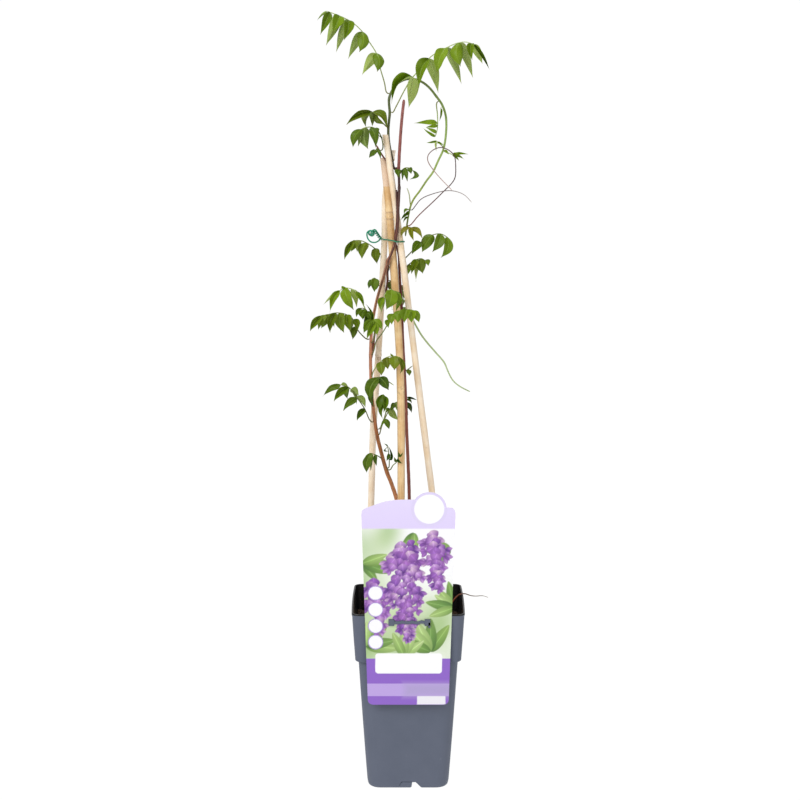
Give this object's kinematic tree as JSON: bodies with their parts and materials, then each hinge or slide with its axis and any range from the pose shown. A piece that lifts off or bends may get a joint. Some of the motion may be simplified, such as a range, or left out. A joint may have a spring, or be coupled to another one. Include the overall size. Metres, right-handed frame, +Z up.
{
  "type": "climbing plant in a pot",
  "caption": "Young twining wisteria on bamboo canes in a square plastic nursery pot with compost, a wire tie and a blank hanging label.",
  "frame": {"origin": "centre of the pot's foot, on the surface it stands on", "axes": "+Z up the plant, +Y to the back, +X to the right as seen from the side with the label"},
  "size_m": [0.2466, 0.158, 1.0615],
  "materials": {
    "pot_plastic": "moulded blue-grey plastic",
    "compost": "damp fibrous compost",
    "label_card": "printed plastic card",
    "bamboo": "dry peeled bamboo",
    "coated_wire": "green plastic coating",
    "brown_bark": "woody bark",
    "dark_bark": "maroon bark",
    "green_bark": "soft green shoot",
    "young_bark": "soft purple-brown shoot",
    "pale_bark": "soft pale green shoot",
    "root": "dry fibrous root",
    "green_leaf": "satin leaf",
    "bright_leaf": "satin young leaf"
  },
  "bodies": {
    "root": {"pot": "pot_plastic", "soil": "compost", "label": "label_card", "cane_left": "bamboo", "cane_middle": "bamboo", "cane_right": "bamboo", "tie": "coated_wire", "stem_main": "brown_bark", "stem_dark": "dark_bark", "shoot_long": "green_bark", "twig_cut": "brown_bark", "tendril_loop": "young_bark", "tendril_arc": "young_bark", "shoot_pale": "pale_bark", "root_over_rim": "root", "leaf_across": "green_leaf", "leaf_arc": "bright_leaf", "leaf_behind_dark": "green_leaf", "leaf_behind_middle": "green_leaf", "leaf_between_canes": "green_leaf", "leaf_bud_blade": "bright_leaf", "leaf_buds": "green_leaf", "leaf_cluster_lower": "green_leaf", "leaf_cluster_middle": "green_leaf", "leaf_cluster_upper": "green_leaf", "leaf_crinkled": "green_leaf", "leaf_curled": "green_leaf", "leaf_folded": "green_leaf", "leaf_front": "green_leaf", "leaf_front_twig": "green_leaf", "leaf_left_dark": "green_leaf", "leaf_left_large": "green_leaf", "leaf_left_light": "bright_leaf", "leaf_light": "bright_leaf", "leaf_low_left": "green_leaf", "leaf_low_small": "green_leaf", "leaf_low_twig": "green_leaf", "leaf_lower_left": "green_leaf", "leaf_middle": "green_leaf", "leaf_narrow_left": "green_leaf", "leaf_olive": "green_leaf", "leaf_right_dark": "green_leaf", "leaf_small_right": "green_leaf", "leaf_tie_left": "green_leaf", "leaf_tie_right": "green_leaf", "leaf_top_left": "bright_leaf", "leaf_top_right": "bright_leaf", "leaf_young": "bright_leaf", "leaf_young_left": "bright_leaf", "leaf_young_right": "bright_leaf"}
  },
  "joints": []
}
